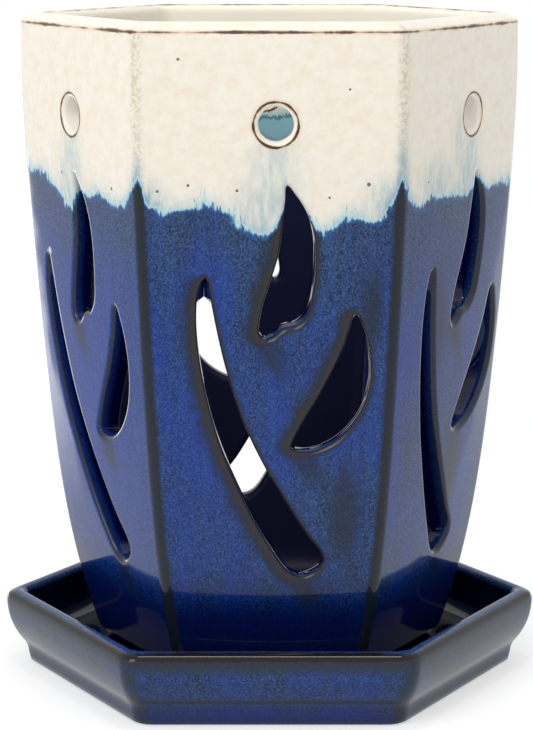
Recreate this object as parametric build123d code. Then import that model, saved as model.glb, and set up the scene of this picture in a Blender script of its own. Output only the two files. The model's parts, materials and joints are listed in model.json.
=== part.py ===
"""Hexagonal glazed orchid pot with leaf-shaped air slots, standing in its own hexagonal saucer.

Millimetres, +Z up. The origin is the middle of the saucer's foot. One flat of the hexagon faces -Y,
so two of its corners lie on the X axis.
"""
import os
from math import cos, pi, sin, sqrt

from build123d import *

FACES = 6

# Pot: overall sizes, wall and roundings
pot_height = 205.5
rim_across_flats = 139.4
wall_thickness = 7.7
base_thickness = 10.0
pot_corner_radius = 5.5
cavity_corner_radius = 6.5
cavity_floor_radius = 5.5
rim_outer_radius = 3.2
rim_inner_radius = 2.0
foot_edge_radius = 4.0

# Pot: how the flats swell from foot to rim, as (share of the height, share of the width at the rim)
belly_shares = ((0.0, 0.702), (0.25, 0.8645), (0.5, 0.937), (0.75, 0.986), (1.0, 1.0))
belly_bands = 10

# Pot: a hanging hole near the rim of each face, a drain hole in the base and a foot ring under it
hanging_hole_radius = 5.3
hanging_hole_drop = 30.0
hanging_hole_side_share = 0.045
drain_hole_radius = 8.0
foot_ring_width = 9.0
foot_recess = 1.6

# Pot: the leaf slots lie between a solid band above the foot and a web under the hanging hole
solid_band = 34.3
web_under_hole = 12.8

# Saucer: overall sizes, wall and roundings
saucer_across_flats = 153.0
saucer_height = 24.8
saucer_wall_thickness = 6.0
saucer_floor_thickness = 7.4
saucer_corner_radius = 6.5
basin_corner_radius = 5.5
saucer_rim_outer_radius = 3.2
saucer_rim_inner_radius = 1.8

# Saucer: outside, the belly curves in to a low foot; inside, the basin curves in to a flat floor
saucer_foot_height = 6.5
saucer_foot_inset = 5.9
saucer_foot_taper = 1.8
saucer_belly_height = 20.0
saucer_belly_radius = 22.0
saucer_belly_bands = 5
basin_curve_inset = 8.0
basin_curve_rise = 9.0
saucer_foot_ring_width = 10.0
saucer_foot_recess = 1.6

# A quarter round is skinned in this many bands
round_bands = 4

# Every cutter runs this far past the surface that it cuts
overrun = 12.0

# The leaf slots of a face, each clockwise from its tip: (share of the rim's half flat, share of the field)
upper_leaf_shares = (
    (0.127, 1.0), (0.201, 0.974), (0.278, 0.933), (0.333, 0.879), (0.345, 0.820), (0.328, 0.740),
    (0.288, 0.683), (0.204, 0.652), (0.099, 0.643), (0.015, 0.621), (-0.045, 0.617), (-0.082, 0.638),
    (-0.065, 0.688), (-0.002, 0.757), (0.065, 0.830), (0.094, 0.903), (0.112, 0.960),
)
side_leaf_shares = (
    (0.646, 0.684), (0.721, 0.633), (0.760, 0.566), (0.750, 0.501), (0.681, 0.431), (0.537, 0.370),
    (0.373, 0.337), (0.239, 0.330), (0.162, 0.343), (0.184, 0.368), (0.276, 0.426), (0.425, 0.510),
    (0.552, 0.599),
)
long_leaf_shares = (
    (-0.482, 0.774), (-0.445, 0.720), (-0.398, 0.639), (-0.331, 0.545), (-0.226, 0.431), (-0.084, 0.324),
    (0.112, 0.207), (0.283, 0.116), (0.393, 0.067), (0.408, 0.043), (0.343, 0.015), (0.234, 0.0),
    (0.139, 0.016), (0.015, 0.076), (-0.129, 0.160), (-0.251, 0.247), (-0.378, 0.353), (-0.477, 0.474),
    (-0.532, 0.578), (-0.552, 0.672), (-0.532, 0.741),
)
leaf_slot_shares = (upper_leaf_shares, side_leaf_shares, long_leaf_shares)

# The slots are cut by hand, so on two faces the pattern drifts sideways: (at the field's foot, at its top)
drift_shares = ((0.0, 0.0), (-0.07, 0.12), (0.0, 0.0), (0.0, 0.0), (0.0, 0.0), (-0.075, -0.174))
hanging_hole_drift_share = 0.5

# Sizes that follow from those above
pot_foot_level = saucer_foot_recess + saucer_floor_thickness
pot_rim_level = pot_foot_level + pot_height
cavity_floor_level = pot_foot_level + base_thickness
rim_apothem = rim_across_flats / 2
rim_half_flat = rim_apothem / sqrt(3)
hanging_hole_level = pot_rim_level - hanging_hole_drop
leaf_field_foot = pot_foot_level + solid_band
leaf_field_height = hanging_hole_level - hanging_hole_radius - web_under_hole - leaf_field_foot
saucer_apothem = saucer_across_flats / 2


def hexagon(level, apothem, corner_radius):
    """A level hexagon with rounded corners and flats facing -Y and +Y."""
    outline = fillet(RegularPolygon(apothem, FACES, major_radius=False).vertices(), corner_radius)
    return Pos(0, 0, level) * outline


def hexagonal_form(rings, corner_radius):
    """A solid skinned band by band through (level, apothem) rings."""
    return loft([hexagon(level, apothem, corner_radius) for level, apothem in rings], ruled=True)


def hexagonal_block(low, high, apothem, corner_radius):
    """A straight hexagonal prism between two levels."""
    return extrude(hexagon(low, apothem, corner_radius), high - low)


def outer_edges(face):
    return face.outer_wire().edges()


def inner_edges(face):
    return face.inner_wires()[0].edges()


def quarter_round(level, rise, inset):
    """(level, inset) steps of a quarter round that rises from a floor into an upright wall."""
    turns = [pi / 2 * band / round_bands for band in range(round_bands + 1)]
    return [(level + rise * (1 - cos(turn)), inset * (1 - sin(turn))) for turn in turns]


def flat_share(up):
    """Width across the flats as a share of the rim's: one curve through all the belly shares."""
    total = 0
    for place, width in belly_shares:
        weight = width
        for other, _ in belly_shares:
            if other != place:
                weight *= (up - other) / (place - other)
        total += weight
    return total


def wall_apothem(level):
    """Distance from the pot's axis to the middle of an outer flat."""
    return rim_apothem * flat_share((level - pot_foot_level) / pot_height)


def wall_rings(foot_level, foot_radius, inset):
    """Rings up one side of the wall, at an inset from its outer side: a rounded foot, then the belly."""
    rings = []
    for level, rounding in quarter_round(foot_level, foot_radius, foot_radius):
        rings.append((level, wall_apothem(level) - inset - rounding))
    start = foot_level + foot_radius
    for band in range(1, belly_bands + 1):
        level = start + (pot_rim_level - start) * band / belly_bands
        rings.append((level, wall_apothem(level) - inset))
    return rings


def face_plane(index):
    """The upright plane through the pot's axis that a face looks away from: x runs to the face's right."""
    turn = 2 * pi * index / FACES
    return Plane(origin=(0, 0, 0), x_dir=(cos(turn), sin(turn), 0), z_dir=(sin(turn), -cos(turn), 0))


def leaf_slot(shares, drift):
    """The closed outline of a leaf slot, in arcs, with its one sharp corner at the tip."""
    foot_drift, top_drift = drift
    points = []
    for across, up in shares:
        shift = foot_drift + (top_drift - foot_drift) * up
        points.append((rim_half_flat * (across + shift), leaf_field_foot + leaf_field_height * up))
    outline = Spline(*points, points[0])
    stops = [0] + [outline.param_at_point(point) for point in points[1:]] + [1]
    arcs = []
    for start, end in zip(stops, stops[1:]):
        arcs.append(ThreePointArc(outline @ start, outline @ ((start + end) / 2), outline @ end))
    return make_face(arcs)


def hanging_hole(drift):
    """The round hole near the rim, which sits a little to one side as the slots do."""
    shift = hanging_hole_side_share + hanging_hole_drift_share * drift[1]
    return Pos(rim_half_flat * shift, hanging_hole_level) * Circle(hanging_hole_radius)


def pot():
    """The pot: a swelling hexagonal wall on a thick base, pierced on every face."""
    body = hexagonal_form(wall_rings(pot_foot_level, foot_edge_radius, 0), pot_corner_radius)
    cavity_rings = wall_rings(cavity_floor_level, cavity_floor_radius, wall_thickness)
    body -= hexagonal_form(cavity_rings, cavity_corner_radius)

    body = fillet(outer_edges(body.faces().sort_by(Axis.Z)[-1]), rim_outer_radius)
    body = fillet(inner_edges(body.faces().sort_by(Axis.Z)[-1]), rim_inner_radius)

    foot_apothem = wall_apothem(pot_foot_level) - foot_edge_radius
    recess_apothem = foot_apothem - foot_ring_width
    below = pot_foot_level - overrun
    body -= hexagonal_block(below, pot_foot_level + foot_recess, recess_apothem, pot_corner_radius)
    drain = Pos(0, 0, below) * Circle(drain_hole_radius)
    body -= extrude(drain, base_thickness + 2 * overrun)
    for index in range(FACES):
        drift = drift_shares[index]
        outlines = [leaf_slot(shares, drift) for shares in leaf_slot_shares] + [hanging_hole(drift)]
        for outline in outlines:
            body -= extrude(face_plane(index) * outline, rim_apothem + overrun)
    return body


def saucer():
    """The saucer: a shallow hexagonal basin with a bellied wall on a low foot ring."""
    foot_apothem = saucer_apothem - saucer_foot_inset
    foot_rings = [(0, foot_apothem - saucer_foot_taper), (saucer_foot_height, foot_apothem)]
    foot = hexagonal_form(foot_rings, saucer_corner_radius)

    belly = []
    for band in range(saucer_belly_bands + 1):
        level = saucer_foot_height + (saucer_belly_height - saucer_foot_height) * band / saucer_belly_bands
        drop = saucer_belly_height - level
        belly.append((level, saucer_apothem - saucer_belly_radius + sqrt(saucer_belly_radius ** 2 - drop ** 2)))
    body = hexagonal_form(belly, saucer_corner_radius)
    wall = hexagonal_block(saucer_belly_height, saucer_height, saucer_apothem, saucer_corner_radius)
    body = foot + body + wall

    basin_apothem = saucer_apothem - saucer_wall_thickness
    curve = quarter_round(pot_foot_level, basin_curve_rise, basin_curve_inset)
    basin = [(level, basin_apothem - inset) for level, inset in curve]
    body -= hexagonal_form(basin, basin_corner_radius)
    body -= hexagonal_block(basin[-1][0], saucer_height + overrun, basin_apothem, basin_corner_radius)

    body = fillet(outer_edges(body.faces().sort_by(Axis.Z)[-1]), saucer_rim_outer_radius)
    body = fillet(inner_edges(body.faces().sort_by(Axis.Z)[-1]), saucer_rim_inner_radius)

    recess_apothem = foot_apothem - saucer_foot_taper - saucer_foot_ring_width
    body -= hexagonal_block(-overrun, saucer_foot_recess, recess_apothem, saucer_corner_radius)
    return body


os.makedirs("parts", exist_ok=True)
for name, solid in (("saucer", saucer()), ("pot", pot())):
    solid.label = name
    export_step(solid, f"parts/{name}.step")
    box = solid.bounding_box()
    print(name, solid.is_valid, len(solid.solids()), round(solid.volume), box.min, box.max)
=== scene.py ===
"""A hexagonal orchid pot of glazed stoneware, pierced with leaf slots, standing in its own saucer."""
import json
from math import cos, pi, radians, sin, sqrt, tan

import bmesh
import bpy
import numpy as np
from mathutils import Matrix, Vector
from mathutils.geometry import delaunay_2d_cdt


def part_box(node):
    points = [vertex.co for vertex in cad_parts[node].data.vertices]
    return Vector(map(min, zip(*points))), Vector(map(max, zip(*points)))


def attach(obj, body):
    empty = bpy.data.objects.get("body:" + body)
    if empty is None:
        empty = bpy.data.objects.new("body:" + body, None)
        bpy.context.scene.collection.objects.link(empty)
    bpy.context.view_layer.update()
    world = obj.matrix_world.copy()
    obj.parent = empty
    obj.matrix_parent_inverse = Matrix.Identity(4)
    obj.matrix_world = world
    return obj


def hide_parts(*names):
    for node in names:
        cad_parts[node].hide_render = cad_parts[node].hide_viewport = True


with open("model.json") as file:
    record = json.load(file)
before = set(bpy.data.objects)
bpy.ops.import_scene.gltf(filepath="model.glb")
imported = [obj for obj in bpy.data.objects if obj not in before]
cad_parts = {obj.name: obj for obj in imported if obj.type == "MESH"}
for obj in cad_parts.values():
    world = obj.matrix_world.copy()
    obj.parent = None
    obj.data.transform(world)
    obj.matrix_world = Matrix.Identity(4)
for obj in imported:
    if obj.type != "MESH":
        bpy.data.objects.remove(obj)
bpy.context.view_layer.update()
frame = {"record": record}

MM = 0.001
FACES = 6

# Sizes taken from the frame
pot_low, pot_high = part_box("pot")
mounts = {mount["name"]: mount for mount in frame["record"]["mounts"]}
front_hole = mounts["hanging_hole_front"]
POT_FOOT = pot_low[2]
POT_TOP = pot_high[2]
POT_HEIGHT = POT_TOP - POT_FOOT
HOLE_RADIUS = front_hole["dims"]["r_mm"] * MM
HOLE_LEVEL = front_hole["pos_m"][2]

# The pot's wall
RIM_APOTHEM = 69.7 * MM
WALL = 7.7 * MM
BASE = 10.0 * MM
CORNER = 5.5 * MM
CAVITY_CORNER = 6.5 * MM
BELLY_SHARES = ((0.0, 0.702), (0.25, 0.8645), (0.5, 0.937), (0.75, 0.986), (1.0, 1.0))
FOOT_ROUNDING = 4.5 * MM
FOOT_RING = 9.0 * MM
FOOT_RECESS = 1.6 * MM
FLOOR_ROUNDING = 5.5 * MM
DRAIN_RADIUS = 8.0 * MM
DRAIN_EDGE = 1.2 * MM
DRAIN_APRON = 14.4 * MM

# The rim's section in millimetres, from the outer face over the crest to the inner one: (depth in the wall,
# drop below the crest). An arris is where the glaze thins: the outer one is sought close to the outer face
RIM_SECTION = (
    (0.0, 4.0), (0.0, 2.9), (0.25, 2.25), (0.9, 1.75), (2.6, 0.7), (4.6, 0.05), (5.9, 0.1), (6.9, 0.6),
    (7.5, 1.5), (7.7, 2.6), (7.7, 4.0),
)
RIM_DROP = 4.0 * MM
OUTER_ARRIS_DROP = 2.2 * MM
OUTER_ARRIS_PULL = 10
INNER_ARRIS_DEPTH = 6.0 * MM

# The field of leaf slots on each face, and the slots' outlines, each clockwise from its tip: (share of the
# rim's half flat, share of the field's height)
SOLID_BAND = 34.3 * MM
WEB_UNDER_HOLE = 12.8 * MM
RIM_HALF_FLAT = RIM_APOTHEM / sqrt(3)
FIELD_FOOT = POT_FOOT + SOLID_BAND
FIELD_HEIGHT = HOLE_LEVEL - HOLE_RADIUS - WEB_UNDER_HOLE - FIELD_FOOT
UPPER_LEAF_SHARES = (
    (0.127, 1.0), (0.201, 0.974), (0.278, 0.933), (0.333, 0.879), (0.345, 0.820), (0.328, 0.740),
    (0.288, 0.683), (0.204, 0.652), (0.099, 0.643), (0.015, 0.621), (-0.045, 0.617), (-0.082, 0.638),
    (-0.065, 0.688), (-0.002, 0.757), (0.065, 0.830), (0.094, 0.903), (0.112, 0.960),
)
SIDE_LEAF_SHARES = (
    (0.646, 0.684), (0.721, 0.633), (0.760, 0.566), (0.750, 0.501), (0.681, 0.431), (0.537, 0.370),
    (0.373, 0.337), (0.239, 0.330), (0.162, 0.343), (0.184, 0.368), (0.276, 0.426), (0.425, 0.510),
    (0.552, 0.599),
)
LONG_LEAF_SHARES = (
    (-0.482, 0.774), (-0.445, 0.720), (-0.398, 0.639), (-0.331, 0.545), (-0.226, 0.431), (-0.084, 0.324),
    (0.112, 0.207), (0.283, 0.116), (0.393, 0.067), (0.408, 0.043), (0.343, 0.015), (0.234, 0.0),
    (0.139, 0.016), (0.015, 0.076), (-0.129, 0.160), (-0.251, 0.247), (-0.378, 0.353), (-0.477, 0.474),
    (-0.532, 0.578), (-0.552, 0.672), (-0.532, 0.741),
)
LEAF_SHARES = (UPPER_LEAF_SHARES, SIDE_LEAF_SHARES, LONG_LEAF_SHARES)

# They are cut by hand, so on two faces they drift sideways: (at the field's foot, at its top). The hole sits
# a little to one side and follows them by half
DRIFT_SHARES = ((0.0, 0.0), (-0.07, 0.12), (0.0, 0.0), (0.0, 0.0), (0.0, 0.0), (-0.075, -0.174))
HOLE_SIDE_SHARE = 0.045
HOLE_DRIFT_SHARE = 0.5

# A cut's two edges are rounded, and some clay is left between a cut and an upright corner
CUT_EDGE = 1.5 * MM
INNER_CUT_EDGE = 1.6 * MM
CORNER_CLAY = 0.8 * MM

# How the knife and the glaze left each leaf slot: glaze pooled on its floor, fullest in the wall's middle,
# the wall leaning in, and the tip cut only part of the way through, so that a web with a slit closes it
GLAZE_POOLS = (1.0 * MM, 1.0 * MM, 1.1 * MM)
POOL_FULLNESS = 0.7
LEANS = (1.2 * MM, 0.4 * MM, 0.3 * MM)
LEAN_SIDE, LEAN_DOWN = 0.8, -0.6
TIP_WEBS = (0.0, 1.5 * MM, 7.0 * MM)
WEB_SLIT_SHARE = 0.008
WEB_EDGE = 0.6 * MM
WEB_STEEPNESS = 3
WEB_START = 0.5

# Each face swells a little between its corners
CROWN = 0.9 * MM

# The saucer's section in millimetres, from the middle of its underside out, up and over the rim to the middle
# of its basin: (apothem, level)
SAUCER_SECTION = (
    (0.0, 1.6), (57.2, 1.6), (57.9, 1.3), (58.4, 0.5), (59.0, 0.0), (68.9, 0.0), (69.8, 0.3), (70.1, 1.1),
    (70.9, 6.0), (71.3, 6.7), (72.2, 7.9), (73.2, 9.2), (74.1, 10.9), (75.0, 12.9), (75.8, 15.3),
    (76.3, 18.0), (76.5, 20.3), (76.5, 21.9), (76.35, 22.8), (75.9, 23.5), (75.0, 24.0), (73.7, 24.55),
    (72.7, 24.8), (71.7, 24.6), (70.9, 23.9), (70.5, 22.7), (70.4, 20.5), (70.3, 17.5), (69.6, 14.2),
    (68.0, 11.4), (65.6, 9.6), (62.4, 9.0), (0.0, 9.0),
)
SAUCER_CORNER = 6.7 * MM
BASIN_CORNER = 5.5 * MM
SAUCER_CREST = 72.7 * MM
SAUCER_FLOOR = 9.0 * MM
SAUCER_ARRIS_LEVEL = 23.5 * MM

# How thin the saucer's glaze lies on each face
SAUCER_THIN_SHARES = (0.1, 0.9, 0.6, 0.3, 0.5, 0.7)

# Mesh spacing: triangles on the flats, which keep clear of every edge by a share of it, rows round corners,
# steps along and across the curves, and how near two points are one
GRID = 2.3 * MM
INNER_GRID = 3.6 * MM
GRID_CLEAR = 0.6
ROWS = 2.6 * MM
FLAT_STEPS = 30
CORNER_STEPS = 5
LEAF_POINTS = 128
HOLE_POINTS = 48
CURVE_STEPS = 24
SMOOTHINGS = 4
RIM_STEP = 0.5 * MM
SAUCER_STEP = 1.6 * MM
SECTION_SOFTENINGS = 2
SECTION_SOFTENING_SHARE = 0.15
OUTER_EDGE_ROWS = 6
INNER_EDGE_ROWS = 5
CUT_WALL_SHARES = (0.25, 0.5, 0.75)
FOOT_ROWS = 6
DOUBLES = 0.003 * MM
SAME_SPOT = 0.000001 * MM

# Rings of points round each cut keep its rounded edge smooth where it runs into the flat
FIRM_RING = 0.5 * MM
HALO_RINGS = (1.4 * MM, 3.0 * MM)
HALO_CLEAR = 0.7 * MM

# Distances are painted on the meshes in millimetres, and the glazes read them so. These two stand for far
# from an edge and well under the cream
FAR = 30.0
UNDER_CREAM = -150.0

# The cream glaze ends at a wavy line on each face: (share of the half flat, millimetres above the pot's foot)
CREAM_LINES = (
    ((-1.0, 159.5), (-0.93, 151.5), (-0.86, 149.2), (-0.75, 149.2), (-0.64, 150.2), (-0.50, 152.0),
     (-0.38, 150.0), (-0.27, 146.8), (-0.17, 144.1), (-0.08, 141.7), (0.02, 143.2), (0.10, 149.0),
     (0.22, 150.0), (0.33, 144.7), (0.42, 143.2), (0.52, 146.4), (0.58, 148.3), (0.65, 148.6), (0.73, 146.5),
     (0.80, 145.3), (0.87, 146.5), (0.93, 151.5), (1.0, 158.9)),
    ((-1.0, 158.9), (-0.90, 152.7), (-0.74, 149.3), (-0.55, 151.2), (-0.26, 151.0), (0.05, 150.9),
     (0.30, 155.0), (0.45, 151.0), (0.69, 151.6), (0.93, 151.5), (1.0, 157.0)),
    ((-1.0, 157.0), (-0.85, 150.0), (-0.6, 149.0), (-0.4, 151.5), (-0.1, 145.5), (0.15, 147.5), (0.4, 150.0),
     (0.6, 146.5), (0.85, 150.0), (1.0, 157.0)),
    ((-1.0, 157.0), (-0.88, 151.0), (-0.7, 147.5), (-0.45, 150.0), (-0.2, 148.5), (0.0, 144.5), (0.2, 149.0),
     (0.45, 146.0), (0.7, 149.5), (0.9, 151.5), (1.0, 157.0)),
    ((-1.0, 157.0), (-0.9, 152.0), (-0.65, 150.5), (-0.35, 147.0), (-0.1, 150.0), (0.1, 146.0), (0.35, 144.5),
     (0.6, 149.0), (0.85, 150.5), (1.0, 157.5)),
    ((-1.0, 157.5), (-0.83, 155.2), (-0.63, 155.4), (-0.45, 152.8), (-0.30, 149.3), (-0.18, 146.7),
     (-0.09, 147.0), (0.0, 152.0), (0.18, 151.0), (0.34, 152.8), (0.51, 151.7), (0.67, 149.9), (0.79, 150.7),
     (0.91, 154.2), (1.0, 159.5)),
)

# Inside it ends at one height on each face, with two waves: (millimetres, radians in half a flat, and how far
# the wave shifts from one face to the next)
INNER_CREAM_LINES = (160.0, 163.0, 164.0, 166.5, 164.0, 163.0)
INNER_CREAM_WAVES = ((2.0, 9.0, 1), (1.0, 23.0, 0))

# Thin icy glaze runs down from each hanging hole, twice as wide by its end, and climbs the upright corners,
# to one height for each
RUN_LENGTH = 26.0 * MM
RUN_WIDTH = 5.6 * MM
RUN_DRIFT = 4.5 * MM
CORNER_RUNS = (11.0 * MM, 22.0 * MM, 9.0 * MM, 8.0 * MM, 11.0 * MM, 8.0 * MM)
CORNER_RUN_WIDTH = 3.6 * MM

# Patches of the glaze: thin ones are icy in the cream and olive in the blue, thick ones a richer blue:
# (face, share of the half flat, then height above the foot, half width and half height in millimetres)
ICE_PATCHES = (
    (1, -0.45, 157.0, 12.0, 6.5), (1, -0.12, 168.0, 4.0, 10.0), (0, 0.86, 152.0, 6.0, 8.0),
    (0, -0.9, 151.0, 5.0, 7.0),
)
OLIVE_PATCHES = (
    (0, 0.66, 56.0, 6.0, 18.0), (0, -0.42, 92.0, 5.0, 14.0), (0, 0.80, 120.0, 4.0, 16.0),
    (0, 0.30, 88.0, 4.0, 8.0), (1, 0.2, 60.0, 7.0, 25.0), (1, -0.3, 110.0, 8.0, 20.0),
)
RICH_AND_LIT_PATCHES = (
    # The first, over the whole left front face, is painted light: that face a richer blue as the light falls
    # on it
    (5, 0.0, 90.0, 50.0, 80.0), (0, -0.5, 80.0, 14.0, 30.0), (2, -0.4, 70.0, 25.0, 50.0),
    (3, 0.5, 100.0, 25.0, 40.0),
)

# The bare edge of a slot is wider on its left, by a share for each face. A trail of thin glaze slants down
# from its foot, and starts a share of its length above it
LEFT_EDGE_SPREADS = (2.2, -0.3, 0.8, 0.8, 0.8, -0.5)
DRIP_WIDTH = 5.0 * MM
DRIP_LENGTH = 13.0 * MM
DRIP_SLANT = 0.4
DRIP_LEAD = 0.3

# Iron specks in the cream: face, then along the flat, level and radius in millimetres
SPECKS = (
    (0, -33.6, 164.7, 0.6), (0, -24.4, 166.5, 0.6), (0, -9.8, 165.0, 0.6), (0, 29.5, 166.8, 0.8),
    (0, 17.8, 162.9, 0.5), (0, -27.1, 203.7, 0.6), (0, 23.7, 194.9, 0.5), (5, -10.0, 166.0, 0.6),
    (5, 24.0, 164.0, 0.7), (1, -24.0, 166.0, 0.5), (3, 12.0, 190.0, 0.7), (2, -8.0, 176.0, 0.7),
)


def belly(level):
    """Distance from the pot's axis to the middle of a flat, at a level."""
    shares, widths = zip(*BELLY_SHARES)
    curve = np.polyfit(shares, widths, len(shares) - 1)
    return RIM_APOTHEM * np.polyval(curve, (np.asarray(level, float) - POT_FOOT) / POT_HEIGHT)


def half_flat(apothem, corner):
    """Half the width of a hexagon's flat, short of its rounded corners."""
    return apothem / sqrt(3) - corner * tan(pi / FACES)


def on_face(index, side, apothem, corner, level, crown=0.0):
    """Points of one face of a hexagon: side runs along the flat, and past it round the corner."""
    values = [np.asarray(value, float) for value in (side, apothem, corner, level, crown)]
    side, apothem, corner, level, crown = np.broadcast_arrays(*values)
    straight = half_flat(apothem, corner)
    apothem = apothem + crown * (0.5 - (np.minimum(np.abs(side), straight) / straight) ** 2)
    turned = np.clip((np.abs(side) - straight) / (corner * tan(pi / FACES)), 0, 1) * pi / FACES
    narrower = 1 - 0.5 * crown * tan(pi / FACES) / straight
    along = np.sign(side) * (np.minimum(np.abs(side), straight) * narrower + corner * np.sin(turned))
    out = apothem - corner * (1 - np.cos(turned))
    angle = 2 * pi * index / FACES
    return np.stack([along * cos(angle) + out * sin(angle), along * sin(angle) - out * cos(angle), level], -1)


def wall_corner(depth):
    """Radius of the upright corners at a depth in the wall."""
    return CORNER + (CAVITY_CORNER - CORNER) * np.clip(np.asarray(depth, float) / WALL, 0, 1)


def on_wall(index, side, level, depth, inset=0.0):
    """Points of the pot's wall on one face, at a depth under its outer side."""
    inside = np.clip(np.asarray(depth, float) / WALL, 0, 1)
    return on_face(index, side, belly(level) - depth - inset, wall_corner(depth), level, CROWN * (1 - inside))


def closed_curve(points, count):
    """Evenly spaced points along a smooth closed curve through the given ones."""
    points = np.asarray(points, float)
    total = len(points)
    fine = []
    for i in range(total):
        p = [points[(i + k) % total] for k in (-1, 0, 1, 2)]
        t = [0.0]
        for a, b in zip(p, p[1:]):
            t.append(t[-1] + np.linalg.norm(b - a) ** 0.5)
        for x in np.linspace(t[1], t[2], CURVE_STEPS, endpoint=False):
            a = [((t[k + 1] - x) * p[k] + (x - t[k]) * p[k + 1]) / (t[k + 1] - t[k]) for k in range(3)]
            b = [((t[k + 2] - x) * a[k] + (x - t[k]) * a[k + 1]) / (t[k + 2] - t[k]) for k in range(2)]
            fine.append(((t[2] - x) * b[0] + (x - t[1]) * b[1]) / (t[2] - t[1]))
    fine = np.array(fine + [fine[0]])
    run = np.concatenate([[0], np.cumsum(np.linalg.norm(np.diff(fine, axis=0), axis=1))])
    places = np.linspace(0, run[-1], count, endpoint=False)
    return np.stack([np.interp(places, run, fine[:, k]) for k in range(2)], -1)


def open_curve(points, step):
    """Points about a step apart along a section, softened where it turns."""
    points = np.asarray(points, float)
    near = SECTION_SOFTENING_SHARE
    for _ in range(SECTION_SOFTENINGS):
        cut = [points[0]]
        for a, b in zip(points, points[1:]):
            cut += [(1 - near) * a + near * b, near * a + (1 - near) * b]
        points = np.array(cut + [points[-1]])
    run = np.concatenate([[0], np.cumsum(np.linalg.norm(np.diff(points, axis=0), axis=1))])
    places = np.linspace(0, run[-1], int(run[-1] / step) + 1)
    return np.stack([np.interp(places, run, points[:, k]) for k in range(2)], -1)


def leaf_outline(index, shares):
    """The cut edge of a leaf slot on a face, clockwise from its tip, as (side, level)."""
    foot_drift, top_drift = DRIFT_SHARES[index]
    across, up = np.array(shares).T
    side = RIM_HALF_FLAT * (across + foot_drift + (top_drift - foot_drift) * up)
    return closed_curve(np.stack([side, FIELD_FOOT + FIELD_HEIGHT * up], -1), LEAF_POINTS)


def hole_side(index):
    """How far a face's hanging hole sits from the face's middle."""
    return RIM_HALF_FLAT * (HOLE_SIDE_SHARE + HOLE_DRIFT_SHARE * DRIFT_SHARES[index][1])


def hole_outline(index):
    """The bore of a face's hanging hole, clockwise, as (side, level)."""
    turn = np.linspace(0, 2 * pi, HOLE_POINTS, endpoint=False)
    side = hole_side(index) + HOLE_RADIUS * np.sin(turn)
    return np.stack([side, HOLE_LEVEL + HOLE_RADIUS * np.cos(turn)], -1)


def into_clay(outline):
    """Unit directions from a clockwise outline into the clay around it."""
    along = np.roll(outline, -1, 0) - np.roll(outline, 1, 0)
    away = np.stack([-along[:, 1], along[:, 0]], -1)
    for _ in range(SMOOTHINGS):
        away = (np.roll(away, 1, 0) + 2 * away + np.roll(away, -1, 0)) / 4
    return away / np.linalg.norm(away, axis=1)[:, None]


def inside_outline(points, outline):
    """Which of the points lie inside a closed outline."""
    x, y = points[:, 0, None], points[:, 1, None]
    ax, ay = outline.T
    bx, by = np.roll(outline, -1, 0).T
    crosses = (ay > y) != (by > y)
    at = ax + (y - ay) * (bx - ax) / np.where(by == ay, 1, by - ay)
    return (crosses & (x < at)).sum(1) % 2 == 1


def nearest(points, others):
    """Distance from each point to the nearest of the others, and which one that is, in batches for memory."""
    best, which, batch = np.zeros(len(points)), np.zeros(len(points), int), 2000
    for start in range(0, len(points), batch):
        some = slice(start, start + batch)
        far = ((points[some, None, :] - others[None]) ** 2).sum(-1)
        which[some] = far.argmin(1)
        best[some] = np.sqrt(far.min(1))
    return best, which


def cut_ring(outline, out, depth, form):
    """The edge of a cut at a depth in the wall: form is its glaze pool, its lean and the web at its tip."""
    pool, lean, web = form
    away = into_clay(outline)
    share = min(depth / WALL, 1)
    pooled = pool * np.clip(-away[:, 1], 0, 1) ** 2 * sin(pi * share) ** POOL_FULLNESS
    leaning = lean * np.clip(away[:, 0] * LEAN_SIDE + away[:, 1] * LEAN_DOWN, 0, 1) * share
    step = np.linalg.norm(outline[1] - outline[0])
    count = len(outline)
    from_tip = np.minimum(np.arange(count), count - np.arange(count)) * step
    closed = (1 - WEB_SLIT_SHARE) * np.clip((web - from_tip) / WEB_EDGE + 0.5, 0, 1) * (web > 0)
    closed = closed * np.clip(share * WEB_STEEPNESS - WEB_START, 0, 1)
    middle = (outline + outline[-np.arange(count)]) / 2
    spots = middle + (outline - middle) * (1 - closed)[:, None]
    ring = spots + away * ((out - pooled - leaning) * (1 - closed))[:, None]
    limit = half_flat(belly(ring[:, 1]) - depth, wall_corner(depth)) - CORNER_CLAY
    ring[:, 0] = np.clip(ring[:, 0], -limit, limit)
    return ring


def outwards(mesh):
    """Merges a closed mesh's doubles, turns its faces outwards and shades them smooth."""
    work = bmesh.new()
    work.from_mesh(mesh)
    bmesh.ops.remove_doubles(work, verts=work.verts, dist=DOUBLES)
    bmesh.ops.recalc_face_normals(work, faces=work.faces)
    for face in work.faces:
        face.smooth = True
        face.material_index = 0
    work.to_mesh(mesh)
    work.free()


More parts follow.
